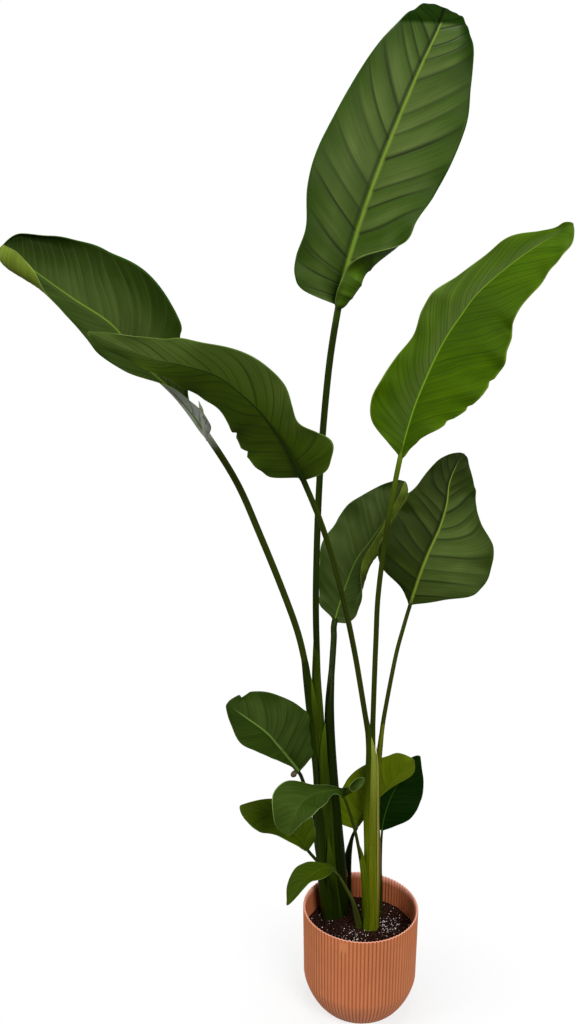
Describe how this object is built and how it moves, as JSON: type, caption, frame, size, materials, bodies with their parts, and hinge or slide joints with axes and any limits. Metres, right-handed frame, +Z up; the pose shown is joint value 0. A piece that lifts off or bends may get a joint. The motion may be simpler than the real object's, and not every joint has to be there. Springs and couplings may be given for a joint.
{
  "type": "potted bird of paradise plant",
  "caption": "Tall foliage plant with broad paddle-shaped leaves on long stalks that rise from upright sheathed stems, set in dark soil in a round ribbed plastic pot.",
  "frame": {"origin": "centre of the pot's foot, on the floor", "axes": "+Z up along the pot's axis; -Y towards the plant's front, +X to its right as seen from the front"},
  "size_m": [0.8829, 0.3753, 1.8176],
  "materials": {
    "pot_plastic": "satin terracotta-coloured plastic, finely ribbed",
    "potting_soil": "loose dark potting mix with pale grains",
    "dark_stem": "smooth dark green leaf sheaths",
    "pale_stem": "smooth yellow-green leaf sheaths",
    "leaf_stalk": "smooth dark green",
    "leaf_blade": "satin green with a paler midrib"
  },
  "bodies": {
    "root": {"pot": "pot_plastic", "potting_soil": "potting_soil", "left_stem": "dark_stem", "right_stem": "pale_stem", "petiole_far_left": "leaf_stalk", "blade_far_left": "leaf_blade", "petiole_top": "leaf_stalk", "blade_top": "leaf_blade", "petiole_middle": "leaf_stalk", "blade_middle": "leaf_blade", "petiole_arching": "leaf_stalk", "blade_arching": "leaf_blade", "petiole_right": "leaf_stalk", "blade_right": "leaf_blade", "petiole_low_right": "leaf_stalk", "blade_low_right": "leaf_blade", "petiole_young_left": "leaf_stalk", "blade_young_left": "leaf_blade", "petiole_young_tucked": "leaf_stalk", "blade_young_tucked": "leaf_blade", "petiole_young_front": "leaf_stalk", "blade_young_front": "leaf_blade", "petiole_young_drooping": "leaf_stalk", "blade_young_drooping": "leaf_blade", "petiole_young_right": "leaf_stalk", "blade_young_right": "leaf_blade", "petiole_young_bright": "leaf_stalk", "blade_young_bright": "leaf_blade"}
  },
  "joints": []
}
